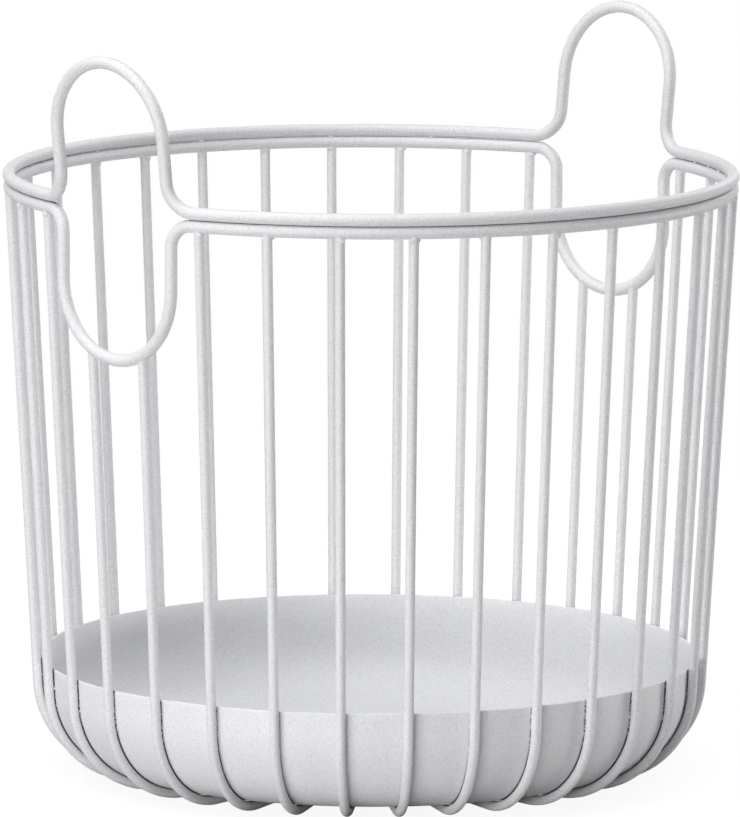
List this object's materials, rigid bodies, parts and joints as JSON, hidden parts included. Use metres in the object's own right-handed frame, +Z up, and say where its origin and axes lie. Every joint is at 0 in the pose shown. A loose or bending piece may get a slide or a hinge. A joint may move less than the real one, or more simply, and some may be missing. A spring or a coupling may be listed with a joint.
{
  "type": "wire basket",
  "caption": "Round tapered wire basket with bent-wire handles, upright staves and a shallow sheet-metal tray base, for open storage.",
  "frame": {"origin": "on the floor that the basket stands on, at the middle of the basket", "axes": "+Z up through the mouth; +X and -X through the middles of the two handles; staves stand at equal angles, the first one half a pitch from +X"},
  "size_m": [0.308, 0.3, 0.306],
  "materials": {
    "rim_wire": "white powder coat with a fine sandy texture, satin",
    "stave_wire": "white powder coat with a fine sandy texture, satin",
    "tray_sheet": "white powder coat, smoother on the sheet than on the wires, satin"
  },
  "bodies": {
    "root": {"upper_rim": "rim_wire", "lower_rim": "rim_wire", "tray": "tray_sheet", "stave_01": "stave_wire", "stave_02": "stave_wire", "stave_03": "stave_wire", "stave_04": "stave_wire", "stave_05": "stave_wire", "stave_06": "stave_wire", "stave_07": "stave_wire", "stave_08": "stave_wire", "stave_09": "stave_wire", "stave_10": "stave_wire", "stave_11": "stave_wire", "stave_12": "stave_wire", "stave_13": "stave_wire", "stave_14": "stave_wire", "stave_15": "stave_wire", "stave_16": "stave_wire", "stave_17": "stave_wire", "stave_18": "stave_wire", "stave_19": "stave_wire", "stave_20": "stave_wire", "stave_21": "stave_wire", "stave_22": "stave_wire", "stave_23": "stave_wire", "stave_24": "stave_wire", "stave_25": "stave_wire", "stave_26": "stave_wire", "stave_27": "stave_wire", "stave_28": "stave_wire", "stave_29": "stave_wire", "stave_30": "stave_wire", "stave_31": "stave_wire", "stave_32": "stave_wire"}
  },
  "joints": []
}
